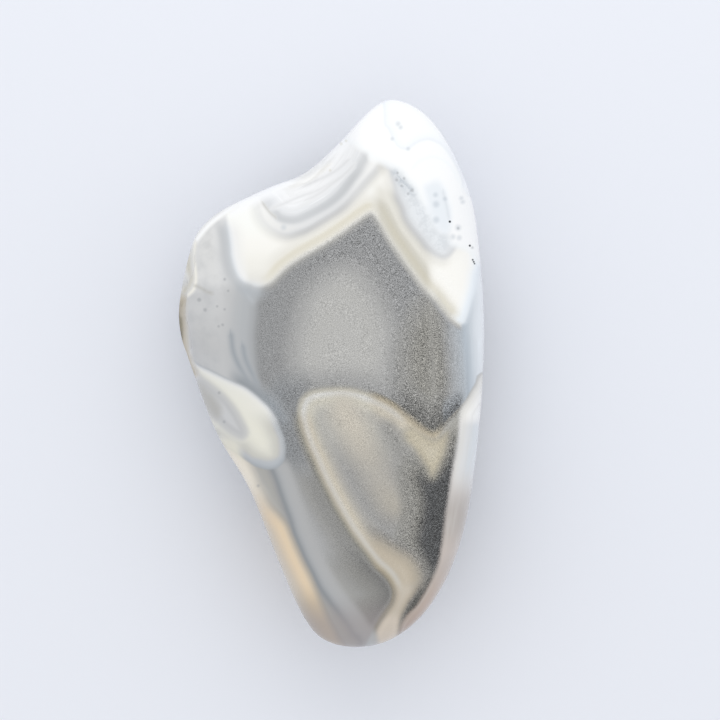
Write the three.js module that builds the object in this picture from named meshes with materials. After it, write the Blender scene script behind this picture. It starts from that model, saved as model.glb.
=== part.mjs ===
// A dendritic opal freeform: one polished, palm-sized stone that lies on the ground flat of its back.
// Millimetres. X runs across the stone, Y along it to the blunt tip, and Z up from the resting face.
// The rough was ground facet by facet and then softened, so the shape is the rounded overlap of a sawn
// outline, a shallow crown and back, the ground facets, and the hollows left by one trough and some chips.

import * as THREE from 'three';
import { mergeVertices } from 'three/addons/utils/BufferGeometryUtils.js';

// Driving dimensions of the finished stone.
const LENGTH = 90;
const WIDTH = 50.4;
const THICKNESS = 27;

// How the surface is meshed: the steps along each edge of an icosahedron, the outline's steps, the
// halvings that close in on the surface, and the share of the radius within which its corners are welded.
const MESH_STEPS = 19;
const OUTLINE_STEPS = 150;
const SEARCH_HALVINGS = 26;
const WELD_DISTANCE = 1e-5;

// Crown and back fall away from their middles by a parabola: the drop in mm per mm squared.
const CROWN_DROP = new THREE.Vector2(0.0032, 0.0010);
const BACK_DROP = new THREE.Vector2(0.0040, 0.0012);
// The back is ground this deep to make the flat that the stone rests on.
const RESTING_FLAT_DEPTH = 0.6;
// The stone is measured outward from this point, inside it on its widest level.
const HEART = new THREE.Vector3(1.5, 2, 13);

// How sharply the facets of each group meet, and the groups meet at the rim, in 1/mm: higher is crisper.
const SOFT_CROWN_SHARPNESS = 0.85;
const CRISP_CROWN_SHARPNESS = 2.0;
const BACK_SHARPNESS = 0.5;
const RIM_SHARPNESS = 0.95;
const CHIP_SHARPNESS = 3.5;

// The outline seen from above, anticlockwise from the blunt tip.
const OUTLINE = [
  [9.8, 45.1], [7.4, 43.8], [4.8, 41.1], [2.1, 38.2], [-1.3, 35.0], [-4.6, 32.3],
  [-8.9, 30.8], [-14.3, 28.2], [-19.3, 25.5], [-22.6, 21.9], [-23.6, 17.6], [-24.7, 12.8],
  [-25.6, 8.6], [-25.0, 5.0], [-23.2, 0.7], [-19.3, -10.0], [-13.8, -18.4], [-9.1, -30.0],
  [-4.7, -40.3], [-2.2, -43.9], [2.0, -45.4], [8.5, -44.6], [14.2, -40.7], [18.8, -34.2],
  [21.9, -25.7], [23.8, -14.3], [24.9, -2.4], [25.2, 8.8], [24.6, 19.2], [23.6, 27.7],
  [21.0, 34.3], [17.9, 40.0], [14.5, 43.7],
].map(([x, y]) => new THREE.Vector3(x, y, 0));

// Facets of the crown. Each faces a bearing, in degrees from +X towards +Y, leans from level by its
// tilt, and leaves the level of the crown's top at a distance out from the middle. The soft ones roll
// into each other, and the crisp ones keep an edge.
const SOFT_CROWN_FACETS = [
  { bearing: 150, tilt: 30, out: 18.4 },   // upper left shoulder
  { bearing: 184, tilt: 33, out: 14.0 },   // left flank, above the broken edge
  { bearing: 206, tilt: 24, out: 10.5 },   // lower left, where the crown starts to roll over
  { bearing: 202, tilt: 58, out: 15.0 },   // lower left flank
  { bearing: 243, tilt: 42, out: 30.5 },   // lower left corner
  { bearing: 275, tilt: 48, out: 39.0 },   // foot
  { bearing: 318, tilt: 50, out: 36.0 },   // lower right corner
  { bearing: 338, tilt: 54, out: 27.4 },   // lower right flank
  { bearing: 356, tilt: 58, out: 22.0 },   // right flank
  { bearing: 12, tilt: 54, out: 23.0 },    // upper right flank
];
const CRISP_CROWN_FACETS = [
  { bearing: 42, tilt: 38, out: 30.2 },    // the bright shoulder beside the tip
  { bearing: 68, tilt: 40, out: 35.6 },    // the tip's front
];

// Facets of the back, given in the same way but leaning down from the level of the resting face.
const BACK_FACETS = [
  { bearing: 52, tilt: 48, out: 30.6 },
  { bearing: 84, tilt: 53, out: 38.2 },
  { bearing: 126, tilt: 52, out: 23.0 },
  { bearing: 172, tilt: 47, out: 19.4 },
  { bearing: 205, tilt: 48, out: 10.0 },
  { bearing: 250, tilt: 44, out: 28.0 },
  { bearing: 285, tilt: 43, out: 35.0 },
  { bearing: 325, tilt: 46, out: 27.0 },
  { bearing: 350, tilt: 48, out: 17.0 },
  { bearing: 14, tilt: 47, out: 17.0 },
];

// The hollow facet on the upper left edge: a trough that runs down the edge, round in cross-section.
// It reaches the outline at a point given by its distance out, its place along the edge and its height.
const TROUGH = { bearing: 124, tilt: 42, out: 29.5, along: 14.8, height: 19.0, radius: 14 };

// The unpolished broken edge on the left: a steep wall, and the round scars of the flakes that came off.
// Each scar is part of a ball with its middle outside the stone.
const BROKEN_WALL = { bearing: 183, tilt: 79, out: 21.9 };
const CHIPS = [
  { at: [-26.7, 18.0, 20.2], radius: 4.5 },
  { at: [-26.0, 23.0, 14.6], radius: 4.6 },
  { at: [-27.4, 13.0, 18.6], radius: 4.0 },
  { at: [-28.8, 5.4, 18.2], radius: 6.0 },
  { at: [-27.1, -0.4, 11.8], radius: 4.8 },
];

// The height of the crown's top and of the back's lowest point before the flat is ground.
const CROWN_TOP = THICKNESS;
const BACK_LOW = -RESTING_FLAT_DEPTH;

function direction(bearing, tilt) {
  const turn = THREE.MathUtils.degToRad(bearing);
  const lean = THREE.MathUtils.degToRad(tilt);
  return new THREE.Vector3(
    Math.sin(lean) * Math.cos(turn),
    Math.sin(lean) * Math.sin(turn),
    Math.cos(lean),
  );
}

// A plane with its outside in front, so that distances to it are negative within the stone.
function crownPlane({ bearing, tilt, out }) {
  const crease = direction(bearing, 90).multiplyScalar(out).setZ(CROWN_TOP);
  return new THREE.Plane().setFromNormalAndCoplanarPoint(direction(bearing, tilt), crease);
}

function backPlane({ bearing, tilt, out }) {
  const crease = direction(bearing, 90).multiplyScalar(out).setZ(BACK_LOW);
  const normal = direction(bearing, tilt);
  normal.z *= -1;
  return new THREE.Plane().setFromNormalAndCoplanarPoint(normal, crease);
}

// The trough's axis: a line that runs parallel to the facet's fall, one radius above it.
function troughAxis({ bearing, tilt, out, along, height, radius }) {
  const outward = direction(bearing, 90);
  const edgeward = direction(bearing - 90, 90);
  const foot = outward.multiplyScalar(out).addScaledVector(edgeward, along).setZ(height);
  const origin = foot.addScaledVector(direction(bearing, tilt), radius);
  const fall = direction(bearing, tilt + 90);
  return new THREE.Ray(origin, fall);
}

// The largest of several distances, with the corner between them rounded off.
function softMax(values, sharpness) {
  const top = Math.max(...values);
  const sum = values.reduce((total, v) => total + Math.exp(sharpness * (v - top)), 0);
  return top + Math.log(sum) / sharpness;
}

const outlinePoints = new THREE.CatmullRomCurve3(OUTLINE, true, 'centripetal').getSpacedPoints(OUTLINE_STEPS);
const softPlanes = SOFT_CROWN_FACETS.map(crownPlane);
const crispPlanes = CRISP_CROWN_FACETS.map(crownPlane);
const backPlanes = BACK_FACETS.map(backPlane);
const brokenWall = crownPlane(BROKEN_WALL);
const trough = troughAxis(TROUGH);

// The distance to the outline in plan, negative inside it.
function outlineDistance(p) {
  let nearest = Infinity;
  let inside = false;
  for (let i = 0; i < OUTLINE_STEPS; i++) {
    const a = outlinePoints[i];
    const b = outlinePoints[i + 1];
    const [dx, dy] = [b.x - a.x, b.y - a.y];
    const [px, py] = [p.x - a.x, p.y - a.y];
    const share = THREE.MathUtils.clamp((px * dx + py * dy) / (dx * dx + dy * dy), 0, 1);
    nearest = Math.min(nearest, Math.hypot(px - share * dx, py - share * dy));
    const passesLevel = a.y > p.y !== b.y > p.y;
    if (passesLevel && p.x < a.x + ((p.y - a.y) * dx) / dy) inside = !inside;
  }
  return inside ? -nearest : nearest;
}

function troughDistance(p) {
  const offset = p.clone().sub(trough.origin);
  const alongAxis = offset.dot(trough.direction);
  return TROUGH.radius - offset.addScaledVector(trough.direction, -alongAxis).length();
}

// Negative within the stone and positive outside it.
function stoneField(p) {
  const crownTop = p.z - (CROWN_TOP - CROWN_DROP.x * p.x ** 2 - CROWN_DROP.y * p.y ** 2);
  const backLow = BACK_LOW + BACK_DROP.x * p.x ** 2 + BACK_DROP.y * p.y ** 2 - p.z;
  const beyond = (planes) => planes.map((plane) => plane.distanceToPoint(p));
  const rolling = softMax([crownTop, ...beyond(softPlanes)], SOFT_CROWN_SHARPNESS);
  const crown = softMax([rolling, troughDistance(p), ...beyond(crispPlanes)], CRISP_CROWN_SHARPNESS);
  const back = softMax([backLow, ...beyond(backPlanes)], BACK_SHARPNESS);
  const polished = softMax([crown, back, outlineDistance(p)], RIM_SHARPNESS);
  const scars = CHIPS.map(({ at, radius }) => radius - p.distanceTo(new THREE.Vector3(...at)));
  return softMax([polished, brokenWall.distanceToPoint(p), ...scars], CHIP_SHARPNESS);
}

// Walks out from the heart of the stone, towards a point of an ellipsoid around it, to the surface.
function surfacePoint(towards) {
  let within = 0;
  let beyond = 1;
  for (let halving = 0; halving < SEARCH_HALVINGS; halving++) {
    const middle = (within + beyond) / 2;
    const p = HEART.clone().addScaledVector(towards, middle);
    if (stoneField(p) < 0) within = middle;
    else beyond = middle;
  }
  return HEART.clone().addScaledVector(towards, within);
}

function stoneGeometry() {
  const ball = new THREE.IcosahedronGeometry(1, MESH_STEPS);
  ball.deleteAttribute('normal');
  ball.deleteAttribute('uv');
  const geometry = mergeVertices(ball, WELD_DISTANCE);
  const position = geometry.getAttribute('position');
  const reach = new THREE.Vector3(WIDTH, LENGTH, THICKNESS);
  for (let i = 0; i < position.count; i++) {
    const towards = new THREE.Vector3().fromBufferAttribute(position, i).multiply(reach);
    const p = surfacePoint(towards);
    position.setXYZ(i, p.x, p.y, p.z);
  }
  fitToSize(geometry);
  geometry.computeVertexNormals();
  return geometry;
}

// Grinds the resting flat, and brings the stone to its stated size with its base's middle at the origin.
function fitToSize(geometry) {
  const position = geometry.getAttribute('position');
  geometry.computeBoundingBox();
  const box = geometry.boundingBox;
  const middle = box.getCenter(new THREE.Vector3());
  const scale = new THREE.Vector3(WIDTH, LENGTH, THICKNESS).divide(
    new THREE.Vector3(box.max.x - box.min.x, box.max.y - box.min.y, box.max.z),
  );
  for (let i = 0; i < position.count; i++) {
    position.setXYZ(
      i,
      (position.getX(i) - middle.x) * scale.x,
      (position.getY(i) - middle.y) * scale.y,
      Math.max(0, position.getZ(i) * scale.z),
    );
  }
}

const polishedOpal = new THREE.MeshStandardMaterial({ color: 0xa9a8a2, roughness: 0.2, metalness: 0 });
const stone = new THREE.Mesh(stoneGeometry(), polishedOpal);
stone.name = 'opal_stone';

const group = new THREE.Group();
group.add(stone);
export default group;
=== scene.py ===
"""A polished dendritic opal freeform: its surface, its markings, and a plain studio around it."""

import bpy
import numpy as np
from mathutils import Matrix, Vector


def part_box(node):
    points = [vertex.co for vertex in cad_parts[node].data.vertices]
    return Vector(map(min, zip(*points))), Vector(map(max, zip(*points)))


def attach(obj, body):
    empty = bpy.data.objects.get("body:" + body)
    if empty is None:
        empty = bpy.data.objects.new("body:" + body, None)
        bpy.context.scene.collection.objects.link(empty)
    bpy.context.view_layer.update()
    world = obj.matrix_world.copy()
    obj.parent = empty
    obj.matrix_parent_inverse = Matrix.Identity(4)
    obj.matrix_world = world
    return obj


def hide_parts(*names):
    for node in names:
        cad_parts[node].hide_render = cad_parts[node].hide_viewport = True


bl_info = {
    "name": "Opal Freeform",
    "version": (1, 0, 0),
    "blender": (4, 5, 0),
    "location": "3D View > Sidebar > Opal",
    "description": "Dresses a polished opal freeform and sets up its studio",
    "category": "Object",
}

MM = 0.001

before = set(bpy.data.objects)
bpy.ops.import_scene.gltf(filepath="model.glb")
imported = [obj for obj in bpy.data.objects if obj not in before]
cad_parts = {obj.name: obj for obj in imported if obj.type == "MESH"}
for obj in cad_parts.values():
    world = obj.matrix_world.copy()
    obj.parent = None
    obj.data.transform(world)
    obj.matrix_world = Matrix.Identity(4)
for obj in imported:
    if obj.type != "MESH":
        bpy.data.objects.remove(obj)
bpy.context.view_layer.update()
STONE_NODE = "opal_stone"
STONE_LOW, STONE_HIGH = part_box(STONE_NODE)
STONE_SIZE = STONE_HIGH - STONE_LOW
STONE_MIDDLE = (STONE_LOW + STONE_HIGH) / 2

# The markings were read off the photograph, in its pixels. It was taken from straight above, and these
# turn a pixel into mm at the level of the stone's rim.
PIXELS_PER_MM = 6.056
STONE_PIXEL = (330.8, 373.5)
RIM_LEVEL = 13.0
EYE_HEIGHT = 700.0
EYE_X, EYE_Y = 4.8, 2.2

# Straight steps from one point of a curve to the next, and a least squared length to divide by.
CURVE_STEPS = 6
SHORTEST_SQUARED = 1e-12

# Below this level the bands lean, so that the sides and the back show them as a cut through the stone does.
LEAN_LEVEL = 12.0
LEAN_GROWTH = 1.1
LEAN_INWARD = 7.0
LEAN_TURNS_WITHIN = 10.0
LEAN_ALONG = -12.0
LEAN_SWAY = 4.5

# Waves of that sway, in radians per mm along or across the stone and upward.
SWAY_ACROSS_WAVE = (0.16, 0.35)
SWAY_ACROSS_START = 1.0
SWAY_ALONG_WAVE = (0.19, -0.30)

# Scars of the flakes that came off the broken edge, as balls: place and radius in mm.
SCARS = (
    ((-26.9, 18.2, 20.2), 4.8),
    ((-26.1, 23.2, 14.6), 4.8),
    ((-27.4, 13.2, 18.4), 4.2),
    ((-28.9, 5.6, 18.2), 6.2),
    ((-27.1, -0.2, 11.8), 5.0),
)

# The block that the surface is ground from: its size against the stone's, the cuts along each side, and the
# rounds of smoothing while it is ground.
BLOCK_OVERSIZE = 1.1
SURFACE_CUTS = 127
RELAX_ROUNDS = (8, 4, 2)
RELAX_FACTOR = 0.5
FORM_SUBDIVISIONS = 2
MERGE_DISTANCE = 1e-6
SCAR_SUBDIVISIONS = 6

# Noise in the stone: scale per mm, detail and roughness.
SAND = (8.2, 1.0, 0.6)
WAVER = (0.30, 3.0)

# Edges are a little sandy. They waver too, in mm: hardly from the upper level up, and widely below the lower.
EDGE_SAND = 0.12
LINE_SAND = 0.08
WAVER_LEVELS = (12.0, 6.0)
WAVER_WIDTHS = (0.25, 4.5)

# How far in mm a thin line runs on past its ends.
LINE_RUN_ON = 0.25

# The fine marks of the face fade out where the surface turns down, by the upward part of its normal.
FACE_ENDS = (-0.10, 0.04)

# Grain, gloss, and the roughness where the stone isn't polished.
GRAIN_CONTRAST = 2.9
OPAL_IOR = 1.45
RIND_ROUGHNESS = 0.7

# What the gloss adds to a colour, the lightest that a surface can be, and how much of the warmth of a colour
# usually lifts its red, where the rest lowers its blue.
GLOSS_LIFT = 0.025
LIGHTEST = 0.93
USUAL_BLUSH = 0.25

# The camera's sensor in mm.
SENSOR_WIDTH = 36.0

# The studio, in metres.
NEAREST_SEEN = 0.01
FLOOR_SIZE = 3.0
FLOOR_DROP = 0.0001
PAPER_ROUGHNESS = 0.9
SKY_COLOUR = (0.98, 0.99, 1.0, 1.0)
SOFTBOX_PLACE = (0.02, 0.30, 0.26)
SOFTBOX_AIM = (0.005, 0.02, 0.02)
SOFTBOX_SIZE = (0.40, 0.30)

# Edges of bands and patches, as closed loops in the photograph's pixels. Parts of most lie off the stone.
LOOPS = {
    "arch": (
        (228, 226), (231, 241), (232, 254), (234.5, 266), (239, 276), (246.5, 283.5), (257, 288),
        (269, 284.5), (278, 276), (288, 266.5), (300, 258.5), (311, 252), (325, 244), (338, 235.5),
        (350, 227), (360, 219.5), (366, 215.5), (370, 213.5), (374, 216), (378, 223), (382, 230),
        (388, 240), (395, 250), (400, 258), (406, 266), (413, 276), (422, 288), (433, 300), (441, 310),
        (448, 318), (454, 323.5), (460, 327), (470, 331), (500, 340), (540, 260), (520, 160), (490, 60),
        (380, 20), (250, 70), (190, 150), (218, 196),
    ),
    "right_face": (
        (460, 327), (463.5, 321), (466.6, 312), (470.5, 300), (474, 288), (476, 276), (479, 268),
        (484, 250), (530, 240), (560, 330), (500, 420), (470, 370),
    ),
    "left_lobe": (
        (256, 208), (259, 219), (266, 228.5), (277, 235), (288, 237), (298, 234), (308, 230), (322, 221.5),
        (336, 213), (346, 205.5), (353, 198), (361, 189), (369, 180), (377, 171), (383, 163), (390, 150),
        (385, 110), (330, 70), (250, 120), (240, 175), (252, 198),
    ),
    "lobe_heart": (
        (263, 202), (270, 211), (278, 218), (286, 221), (296, 221), (306, 217.5), (316, 212.5),
        (328, 205.5), (338, 198), (347, 188), (353, 180), (360, 172), (364, 164), (368, 156), (370, 140),
        (360, 110), (320, 95), (260, 140), (248, 180),
    ),
    "right_lobe": (
        (384, 160), (388, 172), (391.5, 185), (393.5, 192), (396.5, 200), (401, 210), (404.5, 220),
        (411, 230), (419.5, 240), (427, 250), (434, 256.5), (443, 260), (451, 257), (457, 249), (463, 240),
        (480, 225), (520, 190), (500, 90), (420, 60), (390, 110),
    ),
    # The tip facet, painted near white partly as a reflection of the softbox.
    "tip_facet": (
        (344, 130), (350, 139), (360, 147), (369, 152), (372, 158), (379, 160), (388, 164), (401, 170),
        (408, 179), (418, 190), (422.5, 200), (428, 208), (436, 217), (443, 230), (450, 241), (460, 246),
        (470, 250), (500, 270), (530, 150), (450, 40), (340, 60),
    ),
    "above_curl": (
        (384, 118), (388, 129), (393, 140), (397, 146), (402, 149.5), (408, 149.5), (413, 146), (419, 142),
        (428, 140), (436, 142.5), (442, 146.5), (448, 154), (455, 165), (461, 179), (466, 195), (500, 190),
        (470, 90), (390, 60),
    ),
    "island": (
        (424, 188), (428, 184), (436, 180.5), (441, 184), (445, 192), (448, 203), (450, 214), (450.5, 224),
        (447, 231), (440, 230), (434, 222), (429, 207),
    ),
    "speckled": (
        (391, 167), (399, 167), (407, 174), (414, 182), (418, 190), (414, 196), (407, 193), (400, 187),
        (394, 178),
    ),
    "window_light": (
        (296, 312), (304, 290), (322, 272), (343, 263), (361, 267), (375, 282), (388, 302), (396, 327),
        (397, 352), (392, 376), (378, 400), (345, 420), (312, 410), (296, 385), (288, 350),
    ),
    "window_dark": (
        (432, 300), (446, 330), (452, 362), (452, 396), (440, 424), (424, 418), (408, 392), (402, 360),
        (408, 330), (418, 308),
    ),
    "grain_zone": (
        (262, 288), (256, 320), (255, 350), (262, 400), (279, 440), (291, 480), (304, 520), (321, 560),
        (338, 590), (356, 610), (374, 618), (400, 612), (432, 580), (450, 520), (459, 460), (467, 410),
        (466, 370), (463, 330), (462, 290), (440, 240), (370, 200), (290, 240),
    ),
    "lens": (
        (299, 410), (302, 399), (311, 392.5), (330, 389), (350, 389.6), (370, 395), (390, 405), (406, 416),
        (419, 426.5), (428, 432.4), (434, 434), (441, 430), (450, 420), (459, 411), (468, 402), (474, 394),
        (480, 386), (488, 374), (520, 350), (560, 420), (530, 560), (470, 680), (390, 700), (362, 662),
        (368, 646), (373, 636), (378, 627), (382.5, 620), (388.5, 612), (394, 604), (396.5, 593),
        (393, 582), (386.5, 573.5), (376, 564), (364, 550), (352, 534), (342, 518), (332, 500), (324, 484),
        (316, 466), (308, 448), (302, 432), (299, 420),
    ),
    "notch_blot": (
        (412, 428), (424, 436), (434, 441), (442, 437), (447, 433), (446, 444), (443.5, 454), (440, 463),
        (435.5, 473), (432, 477), (427, 468), (421, 458), (412, 446), (404, 436),
    ),
    "dark_stripe": (
        (447, 436), (446.5, 452), (444.5, 464), (440, 472), (434, 478), (427, 479), (422, 474), (418, 474),
        (418, 482), (421, 492), (422.5, 503), (422, 514), (419, 528), (417, 541), (419, 551), (425, 561),
        (427.5, 569), (424, 577), (417, 587), (411, 597), (406, 607), (400, 619), (404, 622), (414, 612),
        (428, 596), (438, 580), (446, 562), (452, 540), (456, 515), (459, 490), (462, 460), (458, 436),
    ),
    "fork": (
        (352, 528), (366, 536), (378, 541), (388, 547), (398, 553), (408, 559), (414.5, 567), (418, 577),
        (417, 587), (412.5, 594), (407.5, 601), (403, 609), (400, 617), (399, 624), (398, 634), (393, 650),
        (385, 668), (362, 662), (368, 646), (373, 636), (378, 627), (382.5, 620), (388.5, 612), (394, 604),
        (396.5, 593), (393, 582), (386.5, 573.5), (376, 564), (364, 550),
    ),
    "right_band": (
        (484, 373), (476.5, 384.5), (471.5, 392), (466.6, 400), (460.3, 410), (459, 418), (458.3, 429),
        (457, 440), (455.0, 452), (452.4, 464), (449.8, 480), (447.5, 496), (445, 512), (442.5, 530),
        (440.5, 548), (436.7, 566), (429, 584), (417.5, 604), (406.5, 615.5), (400.5, 625), (396, 640),
        (390, 656), (400, 700), (500, 680), (560, 520), (540, 360),
    ),
    "left_oval": (
        (180, 352), (196, 364.5), (210, 371.5), (226, 379.5), (244, 388), (255, 396), (264, 404),
        (271, 412), (276, 420), (280, 428), (283.5, 436), (285, 444), (285, 453), (283, 461), (277, 467),
        (268, 469), (260, 467.5), (252, 464.5), (244, 459), (236, 452.5), (226, 446), (214, 440),
        (190, 440), (150, 420), (150, 360),
    ),
    "oval_heart": (
        (192, 370), (204, 378), (217, 388), (226, 396), (233, 404), (238.5, 412), (243, 420), (247, 428),
        (248, 435), (243, 440), (236, 438), (229, 434), (222, 428), (214, 420), (206, 412), (198, 404),
        (180, 385),
    ),
    "heart_shade": (
        (199, 383), (208, 391), (216, 400), (221, 410), (218, 419), (210, 415), (203, 407), (190, 396),
    ),
    "crease_side": (
        (266, 462), (272, 470), (276.5, 481), (280.5, 492), (284.5, 504), (289, 516), (292.5, 527),
        (297, 540), (304, 556), (312, 572), (320.5, 588), (331.5, 604), (344, 620), (352, 632), (360, 650),
        (330, 700), (230, 620), (200, 500), (230, 455),
    ),
    "side_strip": (
        (212, 430), (230, 444), (246, 459), (254, 474), (258, 484), (263, 492), (267, 500), (272, 508),
        (279, 516), (285, 524), (292, 540), (299, 556), (307, 572), (314.5, 588), (321, 604), (328, 620),
        (336, 636), (345, 660), (300, 690), (240, 600), (190, 500),
    ),
    "rind": (
        (186.5, 297), (186.5, 312), (186.5, 326), (187, 340), (189, 352), (192.5, 364), (196, 376),
        (165, 376), (150, 335), (165, 297),
    ),
    "rind_rim": (
        (182, 317), (183.5, 326), (183.5, 336), (182, 347), (172, 350), (160, 332), (172, 314),
    ),
}

# Thin markings, as open lines in the photograph's pixels.
LINES = {
    "lens_glow": ((344, 410), (354, 430), (364, 452), (376, 474), (388, 495), (398, 514)),
    "pale_streak": ((431, 300), (432, 345), (433, 385), (432, 420)),
    "cap_streak": ((231, 270), (238, 281), (245, 291), (251, 300)),
    "blue_streak": ((231, 334), (232, 344), (233.5, 353), (239, 366), (247, 380)),
    "far_blue_streak": ((243, 346), (245, 358), (250, 370), (257, 384)),
    "white_shoulder": (
        (232, 206), (262, 190), (290, 178), (310, 167), (327, 152), (345, 136), (358, 122),
    ),
    "shoulder_rim": ((195, 242), (201, 234), (208, 226), (216, 219), (226, 212), (236, 206)),
    # A painted highlight along the right rim.
    "rim_highlight": ((463, 190), (468, 205), (471.5, 220), (474, 235), (476.5, 250), (478, 262)),
    "faint_curl": ((413, 168), (418, 162), (424, 159), (433, 157), (443, 160), (452, 168), (458, 180)),
    "island_edge": ((443, 192), (445, 200), (447, 209), (448.6, 218)),
    "lobe_thread": ((273, 208), (288, 202), (300, 196.5), (315, 192), (328, 185), (342, 177)),
    "long_thread": ((305, 201), (320, 193.5), (332, 184), (344, 175), (353, 166)),
    "upper_thread": ((300, 188.5), (312, 182.5), (325, 177), (338, 169.5), (348, 160)),
    "cream_thread": ((287, 187.5), (300, 182), (312, 177), (320, 170.5), (330, 164)),
    "heart_start": ((262.5, 203), (266, 208), (270, 213), (275, 217)),
    "lens_shade": ((388, 430), (396, 442), (405, 457), (413, 474)),
    # A painted shade line below a step on the shoulder.
    "shoulder_crease": ((196, 286), (201, 288.5), (206, 291.5), (211, 293.5)),
    "scar_ridge": ((195, 243), (193.7, 256), (195, 269), (195.6, 280), (193.7, 289), (187.5, 295.5)),
    "scar_fold": ((187, 254), (188.5, 268), (190.8, 276), (190, 282), (186, 289), (183.5, 293)),
}

# Round inclusions: place and radius in the photograph's pixels.
BLACK_DOTS = (
    (449.7, 221.8, 1.2), (469.7, 245.8, 1.1), (472.6, 260.0, 0.9), (473.6, 262.0, 0.9), (474.4, 263.8, 0.8),
)
GRAY_DOTS = (
    (205.0, 310.0, 1.7), (199.0, 300.0, 1.9), (224.5, 279.5, 1.2), (228.0, 291.0, 0.8), (224.5, 309.5, 0.8),
    (217.0, 306.5, 0.8), (222.5, 325.0, 1.2), (218.5, 326.5, 0.9), (219.0, 393.0, 1.3), (224.0, 422.0, 1.2),
    (258.0, 486.0, 1.3), (472.3, 247.8, 1.0), (458.0, 228.5, 0.9), (396.5, 180.0, 1.4), (404.0, 178.5, 1.0),
    (401.5, 186.0, 1.1), (412.0, 190.5, 1.6), (408.0, 194.0, 1.3), (397.5, 173.0, 0.9),
)
BLUE_BLOBS = (
    (398.0, 124.0, 2.0), (400.5, 127.5, 1.4), (392.0, 139.0, 1.0), (408.0, 149.0, 1.0), (461.2, 198.5, 1.7),
    (462.6, 202.0, 1.8), (458.0, 227.8, 2.8), (459.0, 238.0, 2.3), (453.0, 237.0, 2.3), (435.4, 195.0, 1.8),
    (436.0, 204.4, 3.0), (436.0, 220.0, 3.0), (444.8, 199.0, 1.4), (283.5, 227.5, 2.5),
)
RUST_DOTS = (
    (330.0, 170.5, 1.2), (341.0, 144.0, 1.4), (346.0, 141.0, 1.0),
)


def shade(gray, warmth=0.0, blush=USUAL_BLUSH):
    """The colour that shows as this gray level, 0 to 255 on a screen, under the studio's light.

    Warmth is how far red lies over blue, and blush the share of it that lifts the red of a warm colour. The
    standard curve of a screen turns the levels into light.
    """
    red_share = blush if warmth > 0 else 0.5
    seen = np.array((gray + warmth * red_share, gray, gray - warmth * (1 - red_share))) / 255
    linear = np.where(seen <= 0.04045, seen / 12.92, ((seen + 0.055) / 1.055) ** 2.4)
    return tuple(float(v) for v in np.clip(linear - GLOSS_LIFT, 0.0, LIGHTEST))


def select_only(piece):
    bpy.ops.object.select_all(action="DESELECT")
    piece.select_set(True)
    bpy.context.view_layer.objects.active = piece


def apply_all_modifiers(piece):
    select_only(piece)
    for modifier in list(piece.modifiers):
        bpy.ops.object.modifier_apply(modifier=modifier.name)


def plan_mm(points):
    """Photograph pixels as mm on the plan of the markings."""
    p = np.array(points, float)
    return np.column_stack([p[:, 0] - STONE_PIXEL[0], STONE_PIXEL[1] - p[:, 1]]) / PIXELS_PER_MM


def smooth_curve(points, closed):
    """Passes a curve through the given points and returns it as short straight steps."""
    p = plan_mm(points)
    if closed:
        before, start, after, beyond = np.roll(p, 1, 0), p, np.roll(p, -1, 0), np.roll(p, -2, 0)
    else:
        padded = np.vstack([2 * p[0] - p[1], p, 2 * p[-1] - p[-2]])
        before, start, after, beyond = padded[:-3], padded[1:-2], padded[2:-1], padded[3:]
    t = np.linspace(0, 1, CURVE_STEPS, endpoint=False)[:, None, None]
    curve = 0.5 * (
        2 * start
        + (after - before) * t
        + (2 * before - 5 * start + 4 * after - beyond) * t**2
        + (3 * start - before - 3 * after + beyond) * t**3
    )
    curve = curve.transpose(1, 0, 2).reshape(-1, 2)
    return curve if closed else np.vstack([curve, p[-1]])


def depth_in(places, points, closed):
    """How far in mm each place lies inside a loop or to the left of a line, negative on the other side."""
    curve = smooth_curve(points, closed)
    starts = curve if closed else curve[:-1]
    ends = np.roll(curve, -1, 0) if closed else curve[1:]
    nearest = np.full(len(places), np.inf)
    inside = np.zeros(len(places), bool)
    for a, b in zip(starts, ends):
        run = b - a
        offset = places - a
        share = np.clip(offset @ run / max(run @ run, SHORTEST_SQUARED), 0, 1)
        gap = offset - share[:, None] * run
        squared = np.einsum("ij,ij->i", gap, gap)
        if not closed:
            left = run[0] * offset[:, 1] > run[1] * offset[:, 0]
            inside = np.where(squared < nearest, left, inside)
        elif run[1]:
            passes_level = (a[1] > places[:, 1]) != (b[1] > places[:, 1])
            inside ^= passes_level & (offset[:, 0] < offset[:, 1] * run[0] / run[1])
        nearest = np.minimum(nearest, squared)
    return np.where(inside, 1, -1) * np.sqrt(nearest)


def marking_places(co):
    """Where on the plan of the markings each point of the surface lies, in mm."""
    x, y, z = co.T
    nearness = (EYE_HEIGHT - RIM_LEVEL) / (EYE_HEIGHT - z)
    depth = np.clip((LEAN_LEVEL - z) / LEAN_LEVEL, 0, 1) ** LEAN_GROWTH
    inward = -LEAN_INWARD * np.tanh(x / LEAN_TURNS_WITHIN)
    sway_x = LEAN_SWAY * np.sin(SWAY_ACROSS_WAVE[0] * y + SWAY_ACROSS_WAVE[1] * z + SWAY_ACROSS_START)
    sway_y = LEAN_SWAY * np.sin(SWAY_ALONG_WAVE[0] * x + SWAY_ALONG_WAVE[1] * z)
    plan_x = EYE_X + (x - EYE_X) * nearness + depth * (inward + sway_x)
    plan_y = EYE_Y + (y - EYE_Y) * nearness + depth * (LEAN_ALONG + sway_y)
    return np.column_stack([plan_x, plan_y])


def points_of(mesh):
    co = np.empty(len(mesh.vertices) * 3, np.float32)
    mesh.vertices.foreach_get("co", co)
    return co.reshape(-1, 3).astype(float)


def store_field(mesh, name, values):
    attribute = mesh.attributes.new(name, "FLOAT", "POINT")
    attribute.data.foreach_set("value", np.ascontiguousarray(values, np.float32))


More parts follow.
